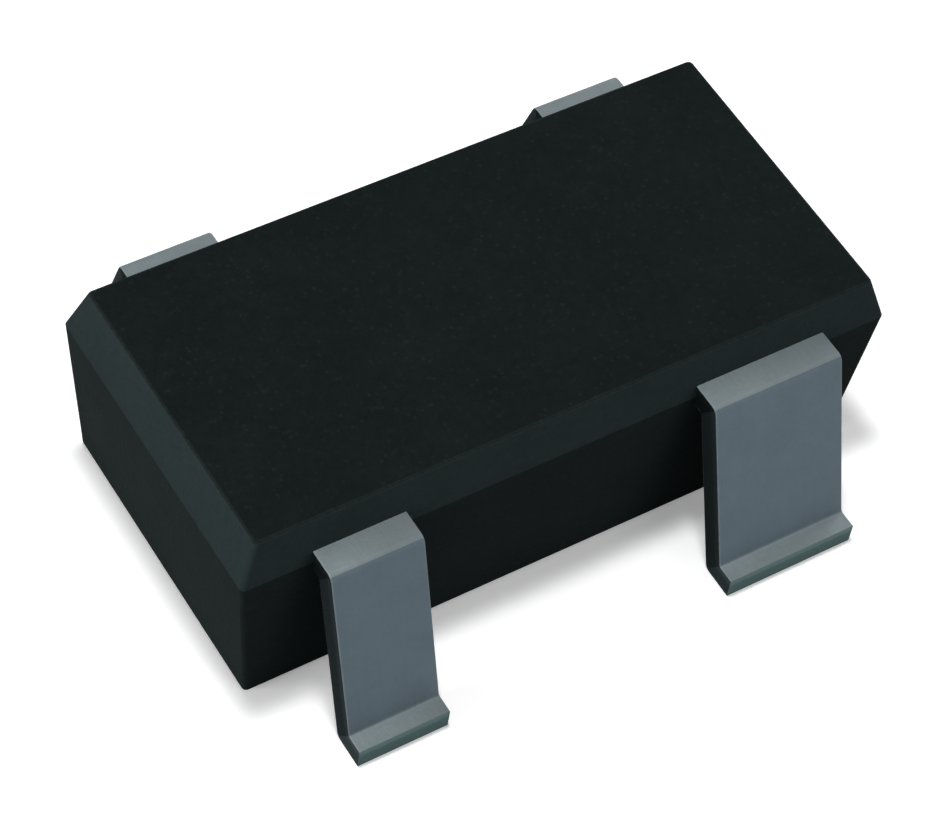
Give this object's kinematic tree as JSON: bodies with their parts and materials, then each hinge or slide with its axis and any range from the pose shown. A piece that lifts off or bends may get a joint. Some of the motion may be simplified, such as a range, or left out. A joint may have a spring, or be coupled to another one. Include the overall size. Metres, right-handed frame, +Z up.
{
  "type": "rf transistor",
  "caption": "Surface-mount RF transistor: black moulded body with drafted sides on gull-wing leads, one of them wide, with die and bond wires inside.",
  "frame": {"origin": "centre of the bounding box on the seating plane, where the four feet rest", "axes": "+X along the body's length, -Y towards the front with the wide lead at +X, +Z up from the board"},
  "size_m": [0.0028, 0.0022, 0.001],
  "materials": {
    "moulding_compound": "matte black epoxy moulding compound with fine filler grain",
    "plated_lead": "matte tin plating on copper, blue-grey",
    "silver_adhesive": "cured silver-filled adhesive, matt grey",
    "silicon": "polished silicon",
    "gold_wire": "bright drawn gold"
  },
  "bodies": {
    "root": {"moulded_body": "moulding_compound", "collector_lead": "plated_lead", "emitter_lead_front": "plated_lead", "base_lead": "plated_lead", "emitter_lead_back": "plated_lead", "die_attach": "silver_adhesive", "silicon_die": "silicon", "base_bond_wire": "gold_wire", "emitter_bond_wire_front_1": "gold_wire", "emitter_bond_wire_front_2": "gold_wire", "emitter_bond_wire_back_1": "gold_wire", "emitter_bond_wire_back_2": "gold_wire"}
  },
  "joints": []
}
